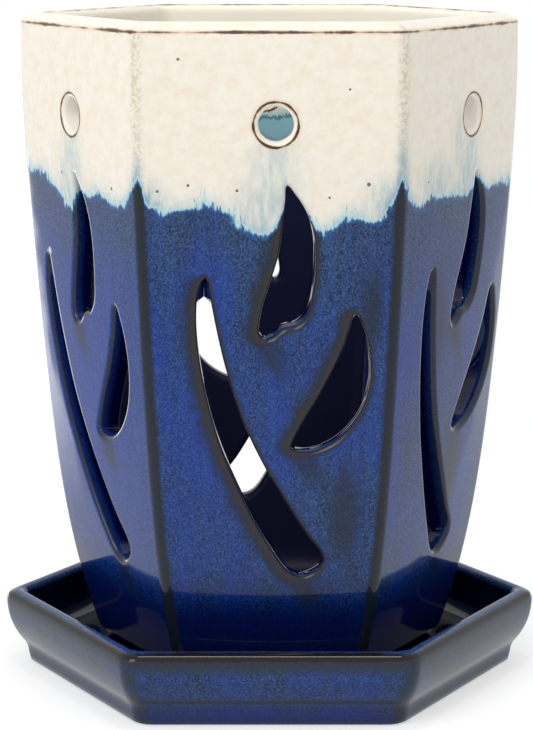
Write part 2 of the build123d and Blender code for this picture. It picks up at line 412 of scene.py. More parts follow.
class Shell:
    """Vertices, faces and painted values of one closed surface, gathered before it is made."""

    def __init__(self, names):
        self.places, self.faces, self.count = [], [], 0
        self.values = {name: [] for name in names}

    def add(self, places, values):
        """Adds vertices, and returns their numbers."""
        places = np.asarray(places, float).reshape(-1, 3)
        self.places.append(places)
        for name, held in self.values.items():
            held.append(np.broadcast_to(np.asarray(values.get(name, 0.0), float), (len(places),)))
        numbers = np.arange(self.count, self.count + len(places))
        self.count += len(places)
        return numbers

    def strip(self, first, second):
        """Quads between two closed rows of vertices."""
        for a, b, c, d in zip(first, np.roll(first, -1), np.roll(second, -1), second):
            self.faces.append((int(a), int(b), int(c), int(d)))

    def make(self, name, material):
        """Makes the object: doubles merged, faces outwards, smooth, at the world's origin."""
        mesh = bpy.data.meshes.new(name)
        mesh.from_pydata(np.concatenate(self.places).tolist(), [], self.faces)
        for value, held in self.values.items():
            layer = mesh.attributes.new(value, "FLOAT", "POINT")
            layer.data.foreach_set("value", np.concatenate(held).astype(np.float32))
        mesh.materials.append(material)
        outwards(mesh)
        piece = bpy.data.objects.new(name, mesh)
        bpy.context.scene.collection.objects.link(piece)
        return piece


# Each face's cut edges, worked out once
LEAVES = [[leaf_outline(index, shares) for shares in LEAF_SHARES] for index in range(FACES)]
HOLES = [hole_outline(index) for index in range(FACES)]
FORMS = list(zip(GLAZE_POOLS, LEANS, TIP_WEBS)) + [(0.0, 0.0, 0.0)]
POT_VALUES = ("cream", "cut", "hole", "corner", "inside", "ice", "drip", "rich_and_lit", "height", "arris")


def patches(table, index, side, half, height):
    """How deep points of a face lie in any of the patches that a table gives it, as a share."""
    deep = np.zeros(len(side))
    for face, share, *sizes in table:
        if face == index:
            middle, width, rise = [size * MM for size in sizes]
            spread = ((side - share * half) / width) ** 2 + ((height - middle) / rise) ** 2
            deep = np.maximum(deep, np.exp(-spread))
    return deep


def paint(index, side, level, depth):
    """What the glaze follows at points of the wall, in millimetres but for shares."""
    values = [np.asarray(value, float) for value in (side, level, depth)]
    side, level, depth = [value.ravel() for value in np.broadcast_arrays(*values)]
    spots = np.stack([side, level], -1)
    inside = np.clip(depth / WALL, 0, 1)
    half = belly(level) / sqrt(3)
    across = side / half
    shares, heights = np.array(CREAM_LINES[index]).T
    line = POT_FOOT + np.interp(across, shares, heights) * MM
    waves = sum(height * np.sin(turns * across + shift * index) for height, turns, shift in INNER_CREAM_WAVES)
    inner_line = POT_FOOT + (INNER_CREAM_LINES[index] + waves) * MM
    corner = np.clip(half - np.abs(side), 0, 1)

    edge, which = nearest(spots, np.concatenate(LEAVES[index]))
    left = np.clip(-np.concatenate([into_clay(outline) for outline in LEAVES[index]])[which, 0], 0, 1)
    drip = np.zeros(len(side))
    for outline in LEAVES[index]:
        foot = outline[outline[:, 1].argmin()]
        below = (foot[1] - level) / DRIP_LENGTH
        drift = side - foot[0] - DRIP_SLANT * np.maximum(foot[1] - level, 0)
        trail = np.exp(-(drift / DRIP_WIDTH) ** 2) * np.exp(-np.maximum(below, 0) ** 2) * (below > -DRIP_LEAD)
        drip = np.maximum(drip, trail)
    drip = np.maximum(drip, patches(OLIVE_PATCHES, index, side, half, level - POT_FOOT))

    fallen = np.clip((HOLE_LEVEL - HOLE_RADIUS - level) / RUN_LENGTH, 0, 1)
    drift = side - hole_side(index) + RUN_DRIFT * fallen
    ice = np.exp(-(drift / (RUN_WIDTH * (1 + fallen))) ** 2) * (level < HOLE_LEVEL - HOLE_RADIUS)
    heights = np.where(side < 0, CORNER_RUNS[index], CORNER_RUNS[(index + 1) % FACES])
    climbing = np.clip(1 - (level - line) / heights, 0, 1)
    ice = np.maximum(ice, climbing * np.exp(-(corner / CORNER_RUN_WIDTH) ** 2))
    ice = np.maximum(ice, patches(ICE_PATCHES, index, side, half, level - POT_FOOT))
    return {
        "cream": (level - line * (1 - inside) - inner_line * inside) / MM,
        "cut": edge / (1 + LEFT_EDGE_SPREADS[index] * left) / MM,
        "hole": nearest(spots, HOLES[index])[0] / MM,
        "corner": corner / MM,
        "inside": inside,
        "ice": ice,
        "drip": drip,
        "rich_and_lit": patches(RICH_AND_LIT_PATCHES, index, side, half, level - POT_FOOT),
        "height": (level - POT_FOOT) / MM,
        "arris": FAR,
    }


def hexagon_row(apothem, corner, level, crown=0.0):
    """A closed row of points round a hexagon with rounded corners: (face numbers, sides, points)."""
    straight = half_flat(apothem, corner)
    bend = corner * tan(pi / FACES) * np.arange(1, CORNER_STEPS + 1) / CORNER_STEPS
    flat = straight * np.linspace(-1, 1, FLAT_STEPS + 1)
    side = np.concatenate([-straight - bend[::-1], flat, straight + bend[:-1]])
    numbers = np.repeat(np.arange(FACES), len(side))
    points = np.concatenate([on_face(index, side, apothem, corner, level, crown) for index in range(FACES)])
    return numbers, np.tile(side, FACES), points


def wall_row(shell, level, depth, inset=0.0, arris=FAR):
    """Adds a closed row round the pot's wall, and returns its vertices' numbers."""
    crown = CROWN * (1 - min(depth / WALL, 1))
    numbers, side, points = hexagon_row(belly(level) - depth - inset, wall_corner(depth), level, crown)
    values = {}
    for index in range(FACES):
        chosen = numbers == index
        for name, value in paint(index, side[chosen], level, depth).items():
            values.setdefault(name, np.zeros(len(side)))[chosen] = value
    values["arris"] = arris
    return shell.add(points, values)


def wall_flat(shell, index, depth, low, high, spacing, edge):
    """One flat of the wall with its corner strips, as triangles between its cut edges."""
    corner = wall_corner(depth)

    def straight(level):
        return half_flat(belly(level) - depth, corner)

    rows = np.linspace(low, high, int((high - low) / ROWS) + 1)
    across = np.linspace(-1, 1, FLAT_STEPS + 1)
    border = [(straight(low) * share, low) for share in across]
    border += [(straight(level), level) for level in rows[1:-1]]
    border += [(straight(high) * share, high) for share in across[::-1]]
    border += [(-straight(level), level) for level in rows[-2:0:-1]]
    border = np.array(border)
    cuts = list(zip(LEAVES[index] + [HOLES[index]], FORMS))
    loops = [cut_ring(outline, edge, depth, form) for outline, form in cuts]
    firm = [cut_ring(outline, edge + FIRM_RING, depth, form) for outline, form in cuts] if depth == 0 else []
    halos = [cut_ring(outline, edge + ring, depth, form) for outline, form in cuts for ring in HALO_RINGS]
    halos = np.concatenate(halos)[::2]

    clear = GRID_CLEAR * spacing
    levels = np.arange(low + spacing, high - spacing / 2, spacing * sqrt(3) / 2)
    fill = []
    for k, level in enumerate(levels):
        sides = np.arange(-RIM_HALF_FLAT, RIM_HALF_FLAT, spacing) + (spacing / 2 if k % 2 else 0)
        fill += [(side, level) for side in sides if abs(side) < straight(level) - clear]
    fill = np.array(fill)
    fill = fill[nearest(fill, np.concatenate([border, halos] + loops))[0] > clear]
    halos = halos[nearest(halos, np.concatenate([border] + loops + firm))[0] > HALO_CLEAR]
    halos = halos[np.abs(halos[:, 0]) < straight(halos[:, 1]) - HALO_CLEAR]
    fill = np.concatenate([fill, halos])
    for loop in loops + firm:
        fill = fill[~inside_outline(fill, loop)]

    spots = np.concatenate([border] + loops + firm + [fill])
    edges, start = [], 0
    for loop in [border] + loops + firm:
        edges += [(start + k, start + (k + 1) % len(loop)) for k in range(len(loop))]
        start += len(loop)
    spots = [Vector(spot / MM) for spot in spots]
    verts, _, faces, _, _, _ = delaunay_2d_cdt(spots, edges, [], 0, SAME_SPOT / MM)
    flat = np.array([tuple(vert) for vert in verts]) * MM
    faces = np.array(faces)
    middle = flat[faces].mean(1)
    keep = inside_outline(middle, border)
    for loop in loops:
        keep &= ~inside_outline(middle, loop)
    side, level = flat.T
    places = on_wall(index, side, level, depth)
    numbers = shell.add(places, paint(index, side, level, depth))
    shell.faces += [tuple(int(v) for v in face) for face in numbers[faces[keep]]]

    bend = corner * tan(pi / FACES) * np.arange(CORNER_STEPS + 1) / CORNER_STEPS
    for hand in (-1, 1):
        side = hand * (straight(rows)[:, None] + bend[None])
        level = np.repeat(rows[:, None], len(bend), 1)
        places = on_wall(index, side, level, depth)
        numbers = shell.add(places, paint(index, side, level, depth)).reshape(side.shape)
        for below, above in zip(numbers.tolist(), numbers[1:].tolist()):
            for k in range(CORNER_STEPS):
                shell.faces.append((below[k], below[k + 1], above[k + 1], above[k]))


def cut_wall(shell, index, outline, form):
    """The wall of a slot or hole, from the outer face through to the inner one, rounded at both edges."""
    steps = []
    for turn in np.linspace(0, pi / 2, OUTER_EDGE_ROWS):
        steps.append((CUT_EDGE * (1 - sin(turn)), CUT_EDGE * (1 - cos(turn))))
    for share in CUT_WALL_SHARES:
        steps.append((0.0, CUT_EDGE + (WALL - CUT_EDGE - INNER_CUT_EDGE) * share))
    for turn in np.linspace(0, pi / 2, INNER_EDGE_ROWS):
        steps.append((INNER_CUT_EDGE * (1 - cos(turn)), WALL - INNER_CUT_EDGE * (1 - sin(turn))))
    before = None
    for out, depth in steps:
        side, level = cut_ring(outline, out, depth, form).T
        row = shell.add(on_wall(index, side, level, depth), paint(index, side, level, depth))
        if before is not None:
            shell.strip(before, row)
        before = row


def drain_row(shell, radius, level, like):
    """A closed row round the drain hole, in step with a row round the hexagon."""
    angle = np.arctan2(like[:, 1], like[:, 0])
    places = np.stack([radius * np.cos(angle), radius * np.sin(angle), np.full(len(angle), level)], -1)
    inside = float(level > POT_FOOT + BASE / 2)
    height = (level - POT_FOOT) / MM
    far = {name: FAR for name in ("cut", "hole", "corner", "arris")}
    return shell.add(places, {"cream": UNDER_CREAM, "inside": inside, "height": height, **far})


def pot_body(material):
    """The pot: both sides of the wall, the cut edges between them, the rim, the base and the drain hole."""
    shell = Shell(POT_VALUES)
    foot = POT_FOOT + FOOT_ROUNDING
    floor = POT_FOOT + BASE
    sill = floor + FLOOR_ROUNDING
    top = POT_TOP - RIM_DROP
    for index in range(FACES):
        wall_flat(shell, index, 0.0, foot, top, GRID, CUT_EDGE)
        wall_flat(shell, index, WALL, sill, top, INNER_GRID, INNER_CUT_EDGE)
        for outline, form in zip(LEAVES[index] + [HOLES[index]], FORMS):
            cut_wall(shell, index, outline, form)

    section = open_curve(RIM_SECTION, RIM_STEP / MM) * MM
    run = np.concatenate([[0], np.cumsum(np.linalg.norm(np.diff(section, axis=0), axis=1))])
    first = run[np.argmin(np.abs(section[:, 1] - OUTER_ARRIS_DROP) + OUTER_ARRIS_PULL * section[:, 0])]
    second = run[np.argmax(section[:, 0] > INNER_ARRIS_DEPTH)]
    rows = []
    for (depth, drop), place in zip(section, run):
        arris = min(abs(place - first), abs(place - second)) / MM
        rows.append(wall_row(shell, POT_TOP - drop, depth, arris=arris))

    outside, inner = [], []
    for turn in np.linspace(0, pi / 2, FOOT_ROWS):
        rounding = 1 - sin(turn)
        level = POT_FOOT + FOOT_ROUNDING * (1 - cos(turn))
        outside.append(wall_row(shell, level, 0.0, FOOT_ROUNDING * rounding))
        level = floor + FLOOR_ROUNDING * (1 - cos(turn))
        inner.append(wall_row(shell, level, WALL, FLOOR_ROUNDING * rounding))
    ring_inset = FOOT_ROUNDING + FOOT_RING
    under = [outside[0]]
    for inset, level in ((ring_inset, POT_FOOT), (ring_inset + FOOT_RECESS, POT_FOOT + FOOT_RECESS)):
        under.append(wall_row(shell, level, 0.0, inset))
    _, _, like = hexagon_row(belly(POT_FOOT), CORNER, POT_FOOT)
    recess = POT_FOOT + FOOT_RECESS
    for wider, level in (
        (DRAIN_APRON, recess), (DRAIN_EDGE, recess), (0, recess + DRAIN_EDGE),
        (0, floor - DRAIN_EDGE), (DRAIN_EDGE, floor), (DRAIN_APRON, floor),
    ):
        under.append(drain_row(shell, DRAIN_RADIUS + wider, level, like))
    under.append(inner[0])
    for group in (rows, outside, inner, under):
        for below, above in zip(group, group[1:]):
            shell.strip(below, above)
    return shell.make("glazed_pot", material)


def colour(code):
    """A written sRGB colour as Blender's linear one."""
    parts = [int(code[i:i + 2], 16) / 255 for i in (1, 3, 5)]
    return tuple(v / 12.92 if v <= 0.04045 else ((v + 0.055) / 1.055) ** 2.4 for v in parts) + (1.0,)


def add(tree, kind, inputs=None, out=0, **settings):
    """Adds a node with its settings and links, and returns one of its outputs."""
    node = tree.nodes.new(kind)
    for name, value in settings.items():
        setattr(node, name, value)
    for name, value in (inputs or {}).items():
        if isinstance(value, bpy.types.NodeSocket):
            tree.links.new(value, node.inputs[name])
        else:
            node.inputs[name].default_value = value
    return node.outputs[out]


def section_round_hexagon():
    """Geometry nodes: a section of (apothem, 0, level) points, carried round a hexagon with round corners."""
    tree = bpy.data.node_groups.new("section_round_hexagon", "GeometryNodeTree")
    for name, kind in (
        ("Section", "Geometry"), ("Outer corner", "Float"), ("Basin corner", "Float"),
        ("Columns on a face", "Int"), ("Share of a corner", "Float"), ("Glaze", "Material"),
    ):
        tree.interface.new_socket(name=name, in_out="INPUT", socket_type="NodeSocket" + kind)
    tree.interface.new_socket(name="Surface", in_out="OUTPUT", socket_type="NodeSocketGeometry")
    given = tree.nodes.new("NodeGroupInput").outputs
    section, columns = given["Section"], given["Columns on a face"]

    # A grid with a row for each point of the section, and columns round the hexagon
    rows = add(tree, "GeometryNodeAttributeDomainSize", {"Geometry": section}, component="MESH")
    around = add(tree, "ShaderNodeMath", {0: columns, 1: FACES, 2: 1}, operation="MULTIPLY_ADD")
    grid = add(tree, "GeometryNodeMeshGrid", {"Vertices X": rows, "Vertices Y": around})
    index = add(tree, "GeometryNodeInputIndex")
    column = add(tree, "ShaderNodeMath", {0: index, 1: around}, operation="FLOORED_MODULO")
    row = add(tree, "ShaderNodeMath", {0: index, 1: column}, operation="SUBTRACT")
    row = add(tree, "ShaderNodeMath", {0: row, 1: around}, operation="DIVIDE")
    row = add(tree, "ShaderNodeMath", {0: row}, operation="ROUND")
    spot = add(tree, "GeometryNodeInputPosition")
    spot = {"Geometry": section, "Value": spot, "Index": row}
    spot = add(tree, "GeometryNodeSampleIndex", spot, data_type="FLOAT_VECTOR")
    apothem = add(tree, "ShaderNodeSeparateXYZ", {"Vector": spot}, "X")
    level = add(tree, "ShaderNodeSeparateXYZ", {"Vector": spot}, "Z")
    basin = add(tree, "GeometryNodeInputNamedAttribute", {"Name": "basin"}, data_type="FLOAT")
    basin = {"Geometry": section, "Value": basin, "Index": row}
    basin = add(tree, "GeometryNodeSampleIndex", basin, data_type="FLOAT")
    corner = add(tree, "ShaderNodeMix", {0: basin, 2: given["Outer corner"], 3: given["Basin corner"]})
    half = add(tree, "ShaderNodeMath", {0: apothem, 1: 0.5}, operation="MULTIPLY")
    corner = add(tree, "ShaderNodeMath", {0: corner, 1: half}, operation="MINIMUM")

    # Where a column stands on its face: along the flat, then round the corner
    turned = add(tree, "ShaderNodeMath", {0: column, 1: columns}, operation="DIVIDE")
    face = add(tree, "ShaderNodeMath", {0: turned}, operation="ROUND")
    across = add(tree, "ShaderNodeMath", {0: turned, 1: face}, operation="SUBTRACT")
    hand = add(tree, "ShaderNodeMath", {0: across}, operation="SIGN")
    away = add(tree, "ShaderNodeMath", {0: across}, operation="ABSOLUTE")
    start = add(tree, "ShaderNodeMath", {0: 0.5, 1: given["Share of a corner"]}, operation="SUBTRACT")
    flat = add(tree, "ShaderNodeMapRange", {0: away, 1: 0.0, 2: start, 3: 0.0, 4: tan(pi / FACES)})
    bend = add(tree, "ShaderNodeMapRange", {0: away, 1: start, 2: 0.5, 3: 0.0, 4: pi / FACES})
    core = add(tree, "ShaderNodeMath", {0: apothem, 1: corner}, operation="SUBTRACT")
    straight = add(tree, "ShaderNodeMath", {0: core, 1: flat}, operation="MULTIPLY")
    sine = add(tree, "ShaderNodeMath", {0: bend}, operation="SINE")
    side = add(tree, "ShaderNodeMath", {0: corner, 1: sine, 2: straight}, operation="MULTIPLY_ADD")
    side = add(tree, "ShaderNodeMath", {0: side, 1: hand}, operation="MULTIPLY")
    cosine = add(tree, "ShaderNodeMath", {0: bend}, operation="COSINE")
    out = add(tree, "ShaderNodeMath", {0: corner, 1: cosine, 2: core}, operation="MULTIPLY_ADD")
    out = add(tree, "ShaderNodeMath", {0: out, 1: -1.0}, operation="MULTIPLY")
    place = add(tree, "ShaderNodeCombineXYZ", {"X": side, "Y": out, "Z": level})
    angle = add(tree, "ShaderNodeMath", {0: face, 1: 2 * pi / FACES}, operation="MULTIPLY")
    place = add(tree, "ShaderNodeVectorRotate", {"Vector": place, "Angle": angle}, rotation_type="Z_AXIS")

    shape = add(tree, "GeometryNodeSetPosition", {"Geometry": grid, "Position": place})
    shape = add(tree, "GeometryNodeMergeByDistance", {"Geometry": shape, "Distance": DOUBLES})
    shape = add(tree, "GeometryNodeSetShadeSmooth", {0: shape})
    shape = add(tree, "GeometryNodeRealizeInstances", {0: shape})
    shape = add(tree, "GeometryNodeSetMaterial", {"Geometry": shape, "Material": given["Glaze"]})
    tree.links.new(shape, tree.nodes.new("NodeGroupOutput").inputs[0])
    return tree


def saucer_paint(mesh):
    """Stores what the saucer's glaze follows at each vertex, in millimetres but for shares."""
    places = np.empty(3 * len(mesh.vertices))
    mesh.vertices.foreach_get("co", places)
    x, y, level = places.reshape(-1, 3).T
    face = np.round(np.arctan2(x, -y) * FACES / (2 * pi))
    turn = face * 2 * pi / FACES
    out = np.maximum(x * np.sin(turn) - y * np.cos(turn), MM)
    side = x * np.cos(turn) + y * np.sin(turn)
    basin = (out < SAUCER_CREST) & (level > SAUCER_FLOOR - MM)
    arris = np.where((out > SAUCER_CREST) & ~basin, np.abs(level - SAUCER_ARRIS_LEVEL) / MM, FAR)
    across = np.clip(side * sqrt(3) / out, -1, 1)
    shares = np.array(SAUCER_THIN_SHARES)
    own = shares[face.astype(int) % FACES]
    beside = shares[(face + np.sign(across)).astype(int) % FACES]
    values = {
        "corner": np.maximum(out / sqrt(3) - np.abs(side), 0) / MM,
        "arris": arris,
        "basin": basin,
        "height": level / MM,
        "thin": own + (beside - own) * across ** 4 / 2,
    }
    for name, held in values.items():
        layer = mesh.attributes.new(name, "FLOAT", "POINT")
        layer.data.foreach_set("value", held.astype(np.float32))


def saucer_body(material):
    """The saucer: one section carried round the hexagon."""
    section = open_curve(SAUCER_SECTION, SAUCER_STEP / MM) * MM
    mesh = bpy.data.meshes.new("saucer_section")
    lines = [(k, k + 1) for k in range(len(section) - 1)]
    mesh.from_pydata([(apothem, 0.0, level) for apothem, level in section], lines, [])
    layer = mesh.attributes.new("basin", "FLOAT", "POINT")
    layer.data.foreach_set("value", np.arange(len(section)) > np.argmax(section[:, 1]))
    piece = bpy.data.objects.new("glazed_saucer", mesh)
    bpy.context.scene.collection.objects.link(piece)
    modifier = piece.modifiers.new("round_hexagon", "NODES")
    modifier.node_group = section_round_hexagon()
    columns = FLAT_STEPS + 2 * CORNER_STEPS
    sizes = {
        "Outer corner": SAUCER_CORNER, "Basin corner": BASIN_CORNER, "Columns on a face": columns,
        "Share of a corner": CORNER_STEPS / columns, "Glaze": material,
    }
    for socket in modifier.node_group.interface.items_tree:
        if socket.name in sizes:
            modifier[socket.identifier] = sizes[socket.name]
    shaped = bpy.data.meshes.new_from_object(piece.evaluated_get(bpy.context.evaluated_depsgraph_get()))
    piece.modifiers.clear()
    piece.data = shaped
    shaped.materials.clear()
    shaped.materials.append(material)
    outwards(shaped)
    saucer_paint(shaped)
    return piece


def new_material(name):
    """An empty material, and its tree."""
    material = bpy.data.materials.new(name)
    material.use_nodes = True
    material.node_tree.nodes.clear()
    return material, material.node_tree


# Both glazes are reactive stoneware glazes, dipped and fired to glass: a hard gloss with a faint ripple, over
# colours that moved as they melted. Such glass has an IOR near 1.5, but this room is white all round, and at
# 1.36 the blue mirrors as much of it as in a real studio. Inside the pot the glaze is thinner and duller
GLAZE_IOR = 1.36
GLAZE_ROUGHNESS = 0.06
INSIDE_ROUGHNESS = 0.5
RIPPLE_DEPTH = 0.5 * MM
RIPPLE_STRENGTH = 0.3

# The blue glaze: its body and then its flecks, where it lies even, thick, grey under the cream, or runs down
COBALT = colour("#02173E")
THICK_COBALT = colour("#06277A")
GREY_COBALT = colour("#0D1D3C")
COBALT_RUN = colour("#123E8C")
FLECK = colour("#376098")
THICK_FLECK = colour("#305CB0")
GREY_FLECK = colour("#46688C")

# Darker near the pot's foot: partly the glaze's own deeper blue, partly painted shade from the saucer
FOOT_COBALT = colour("#010A3E")
# Deep and clear on the saucer's foot
SAUCER_FOOT_COBALT = colour("#0A2163")
# Painted shade: the cobalt painted nearly black in the saucer's basin
BASIN_SHADE_COBALT = colour("#010724")
# Painted shade: the cobalt painted nearly black inside the pot
INSIDE_SHADE_COBALT = colour("#010738")
# Teal inside the pot, below the cream
INSIDE_TEAL = colour("#8CBCCA")

# Thin over the clay, and the clay itself
OLIVE = colour("#151D22")
SAUCER_OLIVE = colour("#232C33")
BARE_CLAY = colour("#382E28")
BROWN_LINE = colour("#1A110B")
IRON = colour("#4A3322")

# The cream glaze, and what it turns to where it is thin, worn, warmed by iron or over the blue
CREAM = colour("#F3EDE0")
CLOUDED_CREAM = colour("#EEE2CF")
# Painted light: a lighter cream inside the pot, against the shade there
PAINTED_LIGHT_INSIDE_CREAM = colour("#FFF8E8")
# Painted highlight: whiter cream on the hanging holes' bores and their rounded edges
BORE_HIGHLIGHT_CREAM = colour("#FBF8F0")
WORN_CREAM = colour("#ADA388")
WARM_CREAM = colour("#E8C9A2")
ICE = colour("#C3CFCC")
MIST = colour("#8DBCD2")
TEAL = colour("#4F8DB0")

# Where the two meet
GLOW = colour("#ACD2DA")
FRESH_BLUE = colour("#1F5C96")
INSIDE_FRINGE = colour("#33444C")

# Sizes of the marks in the glaze, in millimetres: round marks have one, others have two across the wall and
# one up it. Real rutile flecks, of about 0.1 mm, are too fine to show, and are drawn as coarse as they need
DRIFT_SIZES = (13.333, 13.333, 50.0)
RUN_SIZES = (2.0833, 2.0833, 29.412)
FLECK_SIZES = (0.4545, 0.4545, 0.6667)
VEIN_SIZES = (1.5385, 1.5385, 5.8824)
BRISTLE_SIZES = (0.7692, 0.7692, 5.2632)
BREAK_SIZE = 3.3333
CLOUD_SIZE = 3.8462
GRAIN_SIZE = 1.1111
SWAY_SIZE = 4.1667
PATCH_SIZE = 16.667
RIPPLE_SIZE = 20.833
SAUCER_RIPPLE_SIZE = 22.222


def repeats(*sizes):
    """A pattern's scale, in repeats a metre, from the sizes of its marks in millimetres."""
    scale = tuple(1 / (size * MM) for size in sizes)
    return scale if len(scale) > 1 else scale[0]


def reactive_blue(tree, place, grey, rich_and_lit):
    """Cobalt glaze with pale rutile floating in it, in broad drifts, runs down the wall and fine flecks."""
    drifts = add(tree, "ShaderNodeMapping", {"Vector": place, "Scale": repeats(*DRIFT_SIZES)})
    runs = add(tree, "ShaderNodeMapping", {"Vector": place, "Scale": repeats(*RUN_SIZES)})
    flecks = add(tree, "ShaderNodeMapping", {"Vector": place, "Scale": repeats(*FLECK_SIZES)})
    drifts = add(tree, "ShaderNodeTexNoise", {"Vector": drifts, "Scale": 1, "Detail": 3, "Roughness": 0.5})
    runs = add(tree, "ShaderNodeTexNoise", {"Vector": runs, "Scale": 1, "Detail": 2, "Roughness": 0.5})
    flecks = add(tree, "ShaderNodeTexNoise", {"Vector": flecks, "Scale": 1, "Detail": 2, "Roughness": 0.55})
    drifts = add(tree, "ShaderNodeMapRange", {0: drifts, 1: 0.4, 2: 0.66, 3: 0.0, 4: 0.9})
    # Thick patches, and painted light over the left front face, raise the drifts
    drifts = add(tree, "ShaderNodeMath", {0: drifts, 1: rich_and_lit}, operation="MAXIMUM")
    runs = add(tree, "ShaderNodeMapRange", {0: runs, 1: 0.42, 2: 0.75, 3: 0.0, 4: 0.5})
    thick = add(tree, "ShaderNodeMapRange", {0: drifts, 1: 0.0, 2: 1.0, 3: 1.0, 4: 0.7})
    flecks = add(tree, "ShaderNodeMapRange", {0: flecks, 1: 0.4, 2: 0.74, 3: 0.0, 4: 1.0})
    flecks = add(tree, "ShaderNodeMath", {0: flecks, 1: thick}, operation="MULTIPLY")
    body = add(tree, "ShaderNodeMix", {0: drifts, 6: COBALT, 7: THICK_COBALT}, 2, data_type="RGBA")
    body = add(tree, "ShaderNodeMix", {0: grey, 6: body, 7: GREY_COBALT}, 2, data_type="RGBA")
    body = add(tree, "ShaderNodeMix", {0: runs, 6: body, 7: COBALT_RUN}, 2, data_type="RGBA")
    light = add(tree, "ShaderNodeMix", {0: drifts, 6: FLECK, 7: THICK_FLECK}, 2, data_type="RGBA")
    light = add(tree, "ShaderNodeMix", {0: grey, 6: light, 7: GREY_FLECK}, 2, data_type="RGBA")
    return add(tree, "ShaderNodeMix", {0: flecks, 6: body, 7: light}, 2, data_type="RGBA")


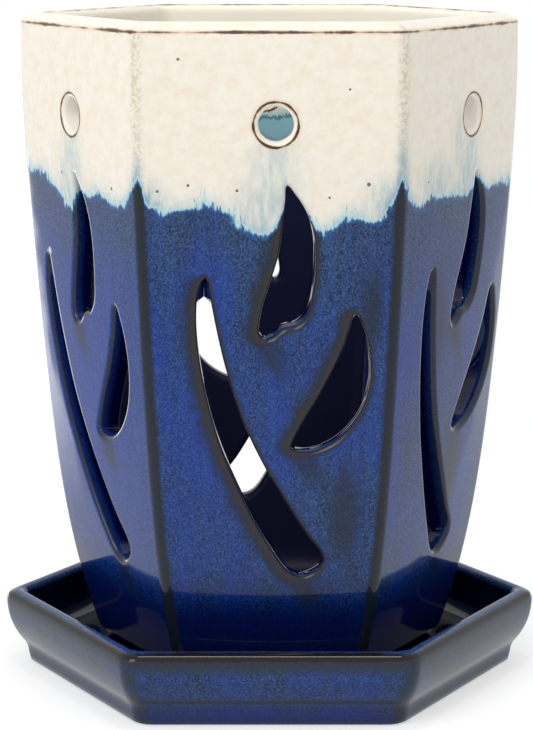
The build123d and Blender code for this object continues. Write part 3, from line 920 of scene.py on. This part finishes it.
def pot_glaze():
    """Stoneware dipped in cobalt glaze, then to the shoulder in a cream one that ran into it as it melted."""
    material, tree = new_material("reactive_stoneware_glaze")
    place = add(tree, "ShaderNodeTexCoord", out="Object")
    cream, cut, hole, corner, inside, ice, drip, rich_and_lit, height, arris = [
        add(tree, "ShaderNodeAttribute", attribute_name=name, out="Fac") for name in POT_VALUES
    ]
    soft = {"interpolation_type": "SMOOTHSTEP"}
    outside = add(tree, "ShaderNodeMapRange", {0: inside, 1: 0.0, 2: 0.3, 3: 1.0, 4: 0.0})

    # Just under the cream the cobalt is greyer. Near the foot it is darker: its own deeper blue and painted
    # shade
    grey = add(tree, "ShaderNodeMapRange", {0: cream, 1: -26.0, 2: -3.0, 3: 0.0, 4: 0.75}, **soft)
    blue = reactive_blue(tree, place, grey, rich_and_lit)
    foot = add(tree, "ShaderNodeMapRange", {0: height, 1: 20.0, 2: 40.0, 3: 0.92, 4: 0.0}, **soft)
    blue = add(tree, "ShaderNodeMix", {0: foot, 6: blue, 7: FOOT_COBALT}, 2, data_type="RGBA")

    # Where the glaze thins, at a cut edge, at an upright corner and below a slot, the olive-brown clay shows
    rough = add(tree, "ShaderNodeTexNoise", {"Vector": place, "Scale": repeats(BREAK_SIZE), "Detail": 3})
    wander = add(tree, "ShaderNodeMapRange", {0: rough, 1: 0.3, 2: 0.7, 3: -0.25, 4: 0.25})
    cut_edge = add(tree, "ShaderNodeMath", {0: cut, 1: wander}, operation="ADD")
    corner_edge = add(tree, "ShaderNodeMath", {0: corner, 1: wander}, operation="ADD")
    bare = add(tree, "ShaderNodeMapRange", {0: cut_edge, 1: 0.1, 2: 1.1, 3: 0.75, 4: 0.0}, **soft)
    bare = add(tree, "ShaderNodeMath", {0: bare, 1: outside}, operation="MULTIPLY")
    cut_edge = add(tree, "ShaderNodeMapRange", {0: cut_edge, 1: 0.4, 2: 2.3, 3: 0.95, 4: 0.0}, **soft)
    corner_edge = add(tree, "ShaderNodeMapRange", {0: corner_edge, 1: 1.3, 2: 3.3, 3: 0.95, 4: 0.0}, **soft)
    trail = add(tree, "ShaderNodeMapRange", {0: drip, 1: 0.1, 2: 0.9, 3: 0.0, 4: 0.7}, **soft)
    thin = add(tree, "ShaderNodeMath", {0: cut_edge, 1: corner_edge}, operation="MAXIMUM")
    thin = add(tree, "ShaderNodeMath", {0: thin, 1: trail}, operation="MAXIMUM")
    thin = add(tree, "ShaderNodeMath", {0: thin, 1: outside}, operation="MULTIPLY")
    blue = add(tree, "ShaderNodeMix", {0: thin, 6: blue, 7: OLIVE}, 2, data_type="RGBA")
    blue = add(tree, "ShaderNodeMix", {0: bare, 6: blue, 7: BARE_CLAY}, 2, data_type="RGBA")

    # Inside, under a teal band below the cream, the glaze is painted nearly black: painted shade of the
    # hollow
    deep = add(tree, "ShaderNodeMapRange", {0: inside, 1: 0.1, 2: 0.5, 3: 0.0, 4: 1.0})
    within = add(tree, "ShaderNodeMapRange", {0: cream, 1: -17.0, 2: -6.0, 3: 0.0, 4: 1.0}, **soft)
    # The slots' walls keep that painted shade, with no teal
    off_cut = add(tree, "ShaderNodeMapRange", {0: cut, 1: 1.5, 2: 5.0, 3: 0.0, 4: 1.0}, **soft)
    within = add(tree, "ShaderNodeMath", {0: within, 1: off_cut}, operation="MULTIPLY")
    within = add(tree, "ShaderNodeMix", {0: within, 6: INSIDE_SHADE_COBALT, 7: INSIDE_TEAL}, 2, data_type="RGBA")
    blue = add(tree, "ShaderNodeMix", {0: deep, 6: blue, 7: within}, 2, data_type="RGBA")

    # The cream coat: warm, with faint clouds, and icy where it lies thin over the blue
    clouds = {"Vector": place, "Scale": repeats(CLOUD_SIZE), "Detail": 4, "Roughness": 0.7}
    clouds = add(tree, "ShaderNodeTexNoise", clouds)
    clouds = add(tree, "ShaderNodeMapRange", {0: clouds, 1: 0.4, 2: 0.68, 3: 0.0, 4: 1.0})
    coat = add(tree, "ShaderNodeMix", {0: clouds, 6: CREAM, 7: CLOUDED_CREAM}, 2, data_type="RGBA")
    # Painted light: inside, the cream is painted lighter against the pot's own shade
    pale = add(tree, "ShaderNodeMapRange", {0: inside, 1: 0.5, 2: 1.0, 3: 0.0, 4: 1.0})
    coat = add(tree, "ShaderNodeMix", {0: pale, 6: coat, 7: PAINTED_LIGHT_INSIDE_CREAM}, 2, data_type="RGBA")
    grain = {"Vector": place, "Scale": repeats(GRAIN_SIZE), "Detail": 2, "Roughness": 0.6}
    grain = add(tree, "ShaderNodeTexNoise", grain)
    grain = add(tree, "ShaderNodeMapRange", {0: grain, 1: 0.42, 2: 0.66, 3: 0.15, 4: 1.0})
    worn = add(tree, "ShaderNodeMapRange", {0: corner, 1: 0.6, 2: 3.6, 3: 0.55, 4: 0.0}, **soft)
    worn = add(tree, "ShaderNodeMath", {0: worn, 1: grain}, operation="MULTIPLY")
    coat = add(tree, "ShaderNodeMix", {0: worn, 6: coat, 7: WORN_CREAM}, 2, data_type="RGBA")
    veins = add(tree, "ShaderNodeMapping", {"Vector": place, "Scale": repeats(*VEIN_SIZES)})
    veins = add(tree, "ShaderNodeTexNoise", {"Vector": veins, "Scale": 1, "Detail": 3, "Roughness": 0.6})
    streak = add(tree, "ShaderNodeMapRange", {0: veins, 1: 0.38, 2: 0.62, 3: 0.4, 4: 1.0})
    near = add(tree, "ShaderNodeMapRange", {0: cream, 1: 0.0, 2: 8.0, 3: 0.6, 4: 0.0}, **soft)
    icy = add(tree, "ShaderNodeMath", {0: near, 1: ice}, operation="MAXIMUM")
    icy = add(tree, "ShaderNodeMath", {0: icy, 1: streak}, operation="MULTIPLY")
    coat = add(tree, "ShaderNodeMix", {0: icy, 6: coat, 7: ICE}, 2, data_type="RGBA")
    # Painted highlight: the bore and its rounded edge are painted whiter
    bore = add(tree, "ShaderNodeMapRange", {0: hole, 1: 0.9, 2: 1.2, 3: 0.8, 4: 0.0}, **soft)
    coat = add(tree, "ShaderNodeMix", {0: bore, 6: coat, 7: BORE_HIGHLIGHT_CREAM}, 2, data_type="RGBA")
    mist = add(tree, "ShaderNodeMapRange", {0: cream, 1: -0.5, 2: 4.0, 3: 0.7, 4: 0.0}, **soft)
    mist = add(tree, "ShaderNodeMath", {0: mist, 1: grain}, operation="MULTIPLY")
    coat = add(tree, "ShaderNodeMix", {0: mist, 6: coat, 7: MIST}, 2, data_type="RGBA")
    teal = add(tree, "ShaderNodeMapRange", {0: cream, 1: 0.0, 2: 16.0, 3: 1.0, 4: 0.0})
    teal = add(tree, "ShaderNodeMath", {0: teal, 1: ice}, operation="MULTIPLY")
    teal = add(tree, "ShaderNodeMath", {0: teal, 1: streak}, operation="MULTIPLY")
    near_corner = add(tree, "ShaderNodeMapRange", {0: corner, 1: 2.5, 2: 10.0, 3: 1.0, 4: 0.35}, **soft)
    teal = add(tree, "ShaderNodeMath", {0: teal, 1: near_corner}, operation="MULTIPLY")
    coat = add(tree, "ShaderNodeMix", {0: teal, 6: coat, 7: TEAL}, 2, data_type="RGBA")

    # The two glazes meet in fine dark bristles with a pale cyan glow above and saturated blue below
    bristle = add(tree, "ShaderNodeMapping", {"Vector": place, "Scale": repeats(*BRISTLE_SIZES)})
    bristle = add(tree, "ShaderNodeTexNoise", {"Vector": bristle, "Scale": 1, "Detail": 2, "Roughness": 0.6})
    drift = add(tree, "ShaderNodeTexNoise", {"Vector": place, "Scale": repeats(SWAY_SIZE), "Detail": 2})
    ticks = add(tree, "ShaderNodeMapRange", {0: bristle, 1: 0.6, 2: 0.74, 3: 0.0, 4: -2.4}, **soft)
    bristle = add(tree, "ShaderNodeMapRange", {0: bristle, 1: 0.3, 2: 0.7, 3: 0.7, 4: -0.7})
    drift = add(tree, "ShaderNodeMapRange", {0: drift, 1: 0.3, 2: 0.7, 3: -1.1, 4: 1.1})
    meet = add(tree, "ShaderNodeMath", {0: cream, 1: bristle}, operation="ADD")
    meet = add(tree, "ShaderNodeMath", {0: meet, 1: drift}, operation="ADD")
    meet = add(tree, "ShaderNodeMath", {0: meet, 1: ticks}, operation="ADD")
    fringe = add(tree, "ShaderNodeMapRange", {0: meet, 1: -2.0, 2: -0.2, 3: 0.0, 4: 0.9}, **soft)
    glow = add(tree, "ShaderNodeMapRange", {0: meet, 1: -0.6, 2: 0.6, 3: 0.0, 4: 1.0}, **soft)
    milk = add(tree, "ShaderNodeMapRange", {0: meet, 1: 0.2, 2: 2.2, 3: 0.0, 4: 1.0}, **soft)
    fresh = add(tree, "ShaderNodeMix", {0: deep, 6: FRESH_BLUE, 7: INSIDE_FRINGE}, 2, data_type="RGBA")
    skin = add(tree, "ShaderNodeMix", {0: fringe, 6: blue, 7: fresh}, 2, data_type="RGBA")
    skin = add(tree, "ShaderNodeMix", {0: glow, 6: skin, 7: GLOW}, 2, data_type="RGBA")
    skin = add(tree, "ShaderNodeMix", {0: milk, 6: skin, 7: coat}, 2, data_type="RGBA")

    # Iron in the clay: thin broken brown lines at the rim and round the holes, and specks in the cream
    hard = add(tree, "ShaderNodeMapRange", {0: rough, 1: 0.35, 2: 0.65, 3: -0.15, 4: 0.15})
    ring = add(tree, "ShaderNodeMath", {0: hole, 1: 1.45}, operation="SUBTRACT")
    ring = add(tree, "ShaderNodeMath", {0: ring}, operation="ABSOLUTE")
    warm = add(tree, "ShaderNodeMath", {0: ring, 1: arris}, operation="MINIMUM")
    ring = add(tree, "ShaderNodeMath", {0: ring, 1: hard}, operation="ADD")
    ring = add(tree, "ShaderNodeMapRange", {0: ring, 1: 0.12, 2: 0.55, 3: 1.0, 4: 0.0}, **soft)
    patchy = add(tree, "ShaderNodeTexNoise", {"Vector": place, "Scale": repeats(PATCH_SIZE), "Detail": 3})
    patchy = add(tree, "ShaderNodeMapRange", {0: patchy, 1: 0.35, 2: 0.65, 3: -0.15, 4: 0.5})
    edge = add(tree, "ShaderNodeMath", {0: arris, 1: hard}, operation="ADD")
    edge = add(tree, "ShaderNodeMath", {0: edge, 1: patchy}, operation="ADD")
    edge = add(tree, "ShaderNodeMapRange", {0: edge, 1: 0.1, 2: 0.75, 3: 0.95, 4: 0.0}, **soft)
    iron = add(tree, "ShaderNodeMath", {0: ring, 1: edge}, operation="MAXIMUM")
    iron = add(tree, "ShaderNodeMath", {0: iron, 1: milk}, operation="MULTIPLY")
    for face, *sizes in SPECKS:
        side, level, radius = [size * MM for size in sizes]
        spot = tuple(float(value) for value in on_wall(face, side, level, 0.0))
        away = add(tree, "ShaderNodeVectorMath", {0: place, 1: spot}, out="Value", operation="DISTANCE")
        away = add(tree, "ShaderNodeMapRange", {0: away, 1: 0.5 * radius, 2: radius, 3: 0.85, 4: 0.0}, **soft)
        iron = add(tree, "ShaderNodeMath", {0: iron, 1: away}, operation="MAXIMUM")
    warm = add(tree, "ShaderNodeMapRange", {0: warm, 1: 0.3, 2: 1.6, 3: 0.5, 4: 0.0}, **soft)
    warm = add(tree, "ShaderNodeMath", {0: warm, 1: milk}, operation="MULTIPLY")
    skin = add(tree, "ShaderNodeMix", {0: warm, 6: skin, 7: WARM_CREAM}, 2, data_type="RGBA")
    skin = add(tree, "ShaderNodeMix", {0: iron, 6: skin, 7: IRON}, 2, data_type="RGBA")

    # A hard gloss outside, duller inside, and the glaze's ripple over both
    dull = {0: inside, 1: 0.7, 2: 1.0, 3: GLAZE_ROUGHNESS, 4: INSIDE_ROUGHNESS}
    dull = add(tree, "ShaderNodeMapRange", dull)
    ripple = {"Vector": place, "Scale": repeats(RIPPLE_SIZE), "Detail": 1, "Roughness": 0.4}
    ripple = add(tree, "ShaderNodeTexNoise", ripple)
    bump = {"Height": ripple, "Distance": RIPPLE_DEPTH, "Strength": RIPPLE_STRENGTH}
    bump = add(tree, "ShaderNodeBump", bump)
    shader = add(tree, "ShaderNodeBsdfPrincipled", {
        "Base Color": skin, "Roughness": dull, "IOR": GLAZE_IOR, "Normal": bump,
    })
    add(tree, "ShaderNodeOutputMaterial", {"Surface": shader}, out=slice(0))
    return material


def saucer_glaze():
    """The same cobalt glaze alone, on the saucer: clear where it pools, olive and brown where it thins."""
    material, tree = new_material("cobalt_stoneware_glaze")
    soft = {"interpolation_type": "SMOOTHSTEP"}
    place = add(tree, "ShaderNodeTexCoord", out="Object")
    corner, arris, basin, height, thin = [
        add(tree, "ShaderNodeAttribute", attribute_name=name, out="Fac")
        for name in ("corner", "arris", "basin", "height", "thin")
    ]

    # The glaze thins towards the rim, and on each face by its own share. Low on the wall it is clear
    top = add(tree, "ShaderNodeMapRange", {0: height, 1: 16.5, 2: 21.0, 3: 0.0, 4: 0.9}, **soft)
    narrow = add(tree, "ShaderNodeMapRange", {0: thin, 1: 0.2, 2: 0.6, 3: 0.0, 4: 0.6})
    low = add(tree, "ShaderNodeMapRange", {0: height, 1: 3.0, 2: 9.0, 3: 0.75, 4: 0.0}, **soft)
    blue = reactive_blue(tree, place, thin, 0.0)
    blue = add(tree, "ShaderNodeMix", {0: low, 6: blue, 7: SAUCER_FOOT_COBALT}, 2, data_type="RGBA")

    # It thins in clouds, and at the upright corners too
    noise = add(tree, "ShaderNodeTexNoise", {"Vector": place, "Scale": repeats(CLOUD_SIZE), "Detail": 3})
    wander = add(tree, "ShaderNodeMapRange", {0: noise, 1: 0.3, 2: 0.7, 3: -0.6, 4: 0.6})
    clouds = add(tree, "ShaderNodeTexNoise", {"Vector": place, "Scale": repeats(PATCH_SIZE), "Detail": 2})
    clouds = add(tree, "ShaderNodeMapRange", {0: clouds, 1: 0.3, 2: 0.7, 3: 0.4, 4: 1.04})
    thin = add(tree, "ShaderNodeMath", {0: thin, 1: clouds}, operation="MULTIPLY")
    turn = add(tree, "ShaderNodeMath", {0: corner, 1: wander}, operation="ADD")
    turn = add(tree, "ShaderNodeMapRange", {0: turn, 1: 1.2, 2: 5.5, 3: 0.8, 4: 0.0}, **soft)
    thin = add(tree, "ShaderNodeMath", {0: thin, 1: turn}, operation="MAXIMUM")
    thin = add(tree, "ShaderNodeMath", {0: thin, 1: top}, operation="MAXIMUM", use_clamp=True)
    skin = add(tree, "ShaderNodeMix", {0: thin, 6: blue, 7: SAUCER_OLIVE}, 2, data_type="RGBA")

    # The crest keeps its flecks, and a brown line follows the outer arris
    crest = add(tree, "ShaderNodeMapRange", {0: height, 1: 23.7, 2: 24.2, 3: 0.0, 4: 1.0}, **soft)
    crest = add(tree, "ShaderNodeMath", {0: crest, 1: basin}, operation="MAXIMUM")
    # Painted shade: below the crest the basin darkens to nearly black
    basin_shade = add(tree, "ShaderNodeMapRange", {0: height, 1: 22.0, 2: 24.2, 3: 0.0, 4: 1.0}, **soft)
    pool = add(tree, "ShaderNodeMix", {0: basin_shade, 6: BASIN_SHADE_COBALT, 7: blue}, 2, data_type="RGBA")
    skin = add(tree, "ShaderNodeMix", {0: crest, 6: skin, 7: pool}, 2, data_type="RGBA")
    wander = add(tree, "ShaderNodeMapRange", {0: noise, 1: 0.3, 2: 0.7, 3: -0.12, 4: 0.12})
    edge = add(tree, "ShaderNodeMath", {0: arris, 1: wander}, operation="ADD")
    edge = add(tree, "ShaderNodeMath", {0: edge, 1: narrow}, operation="ADD")
    line = add(tree, "ShaderNodeMapRange", {0: edge, 1: 0.8, 2: 1.5, 3: 1.0, 4: 0.0}, **soft)
    skin = add(tree, "ShaderNodeMix", {0: line, 6: skin, 7: BROWN_LINE}, 2, data_type="RGBA")

    ripple = {"Vector": place, "Scale": repeats(SAUCER_RIPPLE_SIZE), "Detail": 1, "Roughness": 0.4}
    ripple = add(tree, "ShaderNodeTexNoise", ripple)
    bump = {"Height": ripple, "Distance": RIPPLE_DEPTH, "Strength": RIPPLE_STRENGTH}
    bump = add(tree, "ShaderNodeBump", bump)
    shader = add(tree, "ShaderNodeBsdfPrincipled", {
        "Base Color": skin, "Roughness": GLAZE_ROUGHNESS, "IOR": GLAZE_IOR, "Normal": bump,
    })
    add(tree, "ShaderNodeOutputMaterial", {"Surface": shader}, out=slice(0))
    return material


# The photograph's camera: a long lens, a little above the rim, level side to side
CAMERA_BACK = 813.1 * MM
CAMERA_LEVEL = 248.9 * MM
CAMERA_SIDE = -1.0 * MM
CAMERA_DOWN = radians(10.38)
LENS = 124.6
SENSOR = 36.0

# The even light of the white room on the object; where it is seen or mirrored, the room is white
WORLD_LEVEL = 0.84

# Soft lamps, aimed at the middle of the pot: (name, place in metres, width and height in metres, watts)
LAMP_AIM = (0.0, 0.0, 0.11)
LAMPS = (
    ("key", (-0.95, -1.35, 1.25), (0.9, 1.1), 12.8),
    ("top", (0.0, -0.15, 1.9), (0.45, 0.3), 4.2),
    ("left_back", (-0.66, 0.92, -0.2), (0.62, 0.45), 2.8),
    ("right_back", (0.66, 0.92, -0.2), (0.62, 0.45), 0.7),
)

# The floor, in metres: a sheet of matt paper that takes the shadow and fades out into the white of the room.
# Its lift makes it white where it is looked at, with no more light on the object
FLOOR_RADIUS = 1.0
FLOOR_CORNERS = 96
FADE_START = 0.16
FADE_END = 0.5
FLOOR_LIFT = 0.52
PAPER = colour("#C6C6C6")
WHITE = colour("#FFFFFF")


def camera():
    """The camera at the photograph's place."""
    data = bpy.data.cameras.new("camera")
    data.lens = LENS
    data.sensor_width = SENSOR
    data.sensor_fit = "AUTO"
    holder = bpy.data.objects.new("camera", data)
    holder.location = (CAMERA_SIDE, -CAMERA_BACK, CAMERA_LEVEL)
    holder.rotation_euler = (pi / 2 - CAMERA_DOWN, 0, 0)
    bpy.context.scene.collection.objects.link(holder)
    bpy.context.scene.camera = holder


def softbox(name, place, size, watts):
    """A plain rectangular area lamp."""
    lamp = bpy.data.lights.new(name, "AREA")
    lamp.shape = "RECTANGLE"
    lamp.size, lamp.size_y = size
    lamp.energy = watts
    holder = bpy.data.objects.new(name, lamp)
    holder.location = place
    holder.rotation_euler = (Vector(LAMP_AIM) - Vector(place)).to_track_quat("-Z", "Y").to_euler()
    holder.visible_camera = False
    bpy.context.scene.collection.objects.link(holder)


def looked_at(tree):
    """1 where the camera looks straight, by a reflection or through glass, and 0 for light on the object."""
    seen = add(tree, "ShaderNodeLightPath", out="Is Camera Ray")
    mirrored = add(tree, "ShaderNodeLightPath", out="Is Glossy Ray")
    through = add(tree, "ShaderNodeLightPath", out="Is Transmission Ray")
    seen = add(tree, "ShaderNodeMath", {0: seen, 1: mirrored}, operation="MAXIMUM")
    return add(tree, "ShaderNodeMath", {0: seen, 1: through}, operation="MAXIMUM")


def white_room():
    """The world: white where it is looked at, and even light on the object."""
    world = bpy.data.worlds.new("studio")
    world.use_nodes = True
    tree = world.node_tree
    tree.nodes.clear()
    level = add(tree, "ShaderNodeMapRange", {0: looked_at(tree), 1: 0.0, 2: 1.0, 3: WORLD_LEVEL, 4: 1.0})
    room = add(tree, "ShaderNodeBackground", {"Color": WHITE, "Strength": level})
    add(tree, "ShaderNodeOutputWorld", {"Surface": room}, out=slice(0))
    bpy.context.scene.world = world


def paper_floor():
    """The floor the saucer stands on."""
    work = bmesh.new()
    bmesh.ops.create_circle(work, cap_ends=True, segments=FLOOR_CORNERS, radius=FLOOR_RADIUS)
    mesh = bpy.data.meshes.new("floor")
    work.to_mesh(mesh)
    work.free()
    floor = bpy.data.objects.new("floor", mesh)
    bpy.context.scene.collection.objects.link(floor)
    material, tree = new_material("pale_floor")
    place = add(tree, "ShaderNodeTexCoord", out="Object")
    distance = add(tree, "ShaderNodeVectorMath", {0: place}, out="Value", operation="LENGTH")
    fade = {0: distance, 1: FADE_START, 2: FADE_END, 3: 0.0, 4: 1.0}
    fade = add(tree, "ShaderNodeMapRange", fade, interpolation_type="SMOOTHSTEP")
    paper = add(tree, "ShaderNodeBsdfDiffuse", {"Color": PAPER})
    lift = add(tree, "ShaderNodeMath", {0: looked_at(tree), 1: FLOOR_LIFT}, operation="MULTIPLY")
    lift = add(tree, "ShaderNodeEmission", {"Color": WHITE, "Strength": lift})
    paper = add(tree, "ShaderNodeAddShader", {0: paper, 1: lift})
    gone = add(tree, "ShaderNodeBsdfTransparent")
    mixed = add(tree, "ShaderNodeMixShader", {0: fade, 1: paper, 2: gone})
    add(tree, "ShaderNodeOutputMaterial", {"Surface": mixed}, out=slice(0))
    mesh.materials.append(material)


bpy.context.scene.view_settings.view_transform = "Standard"
camera()
white_room()
for lamp in LAMPS:
    softbox(*lamp)
paper_floor()

pot = pot_body(pot_glaze())
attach(pot, "pot")
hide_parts("pot")

saucer = saucer_body(saucer_glaze())
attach(saucer, "saucer")
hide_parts("saucer")
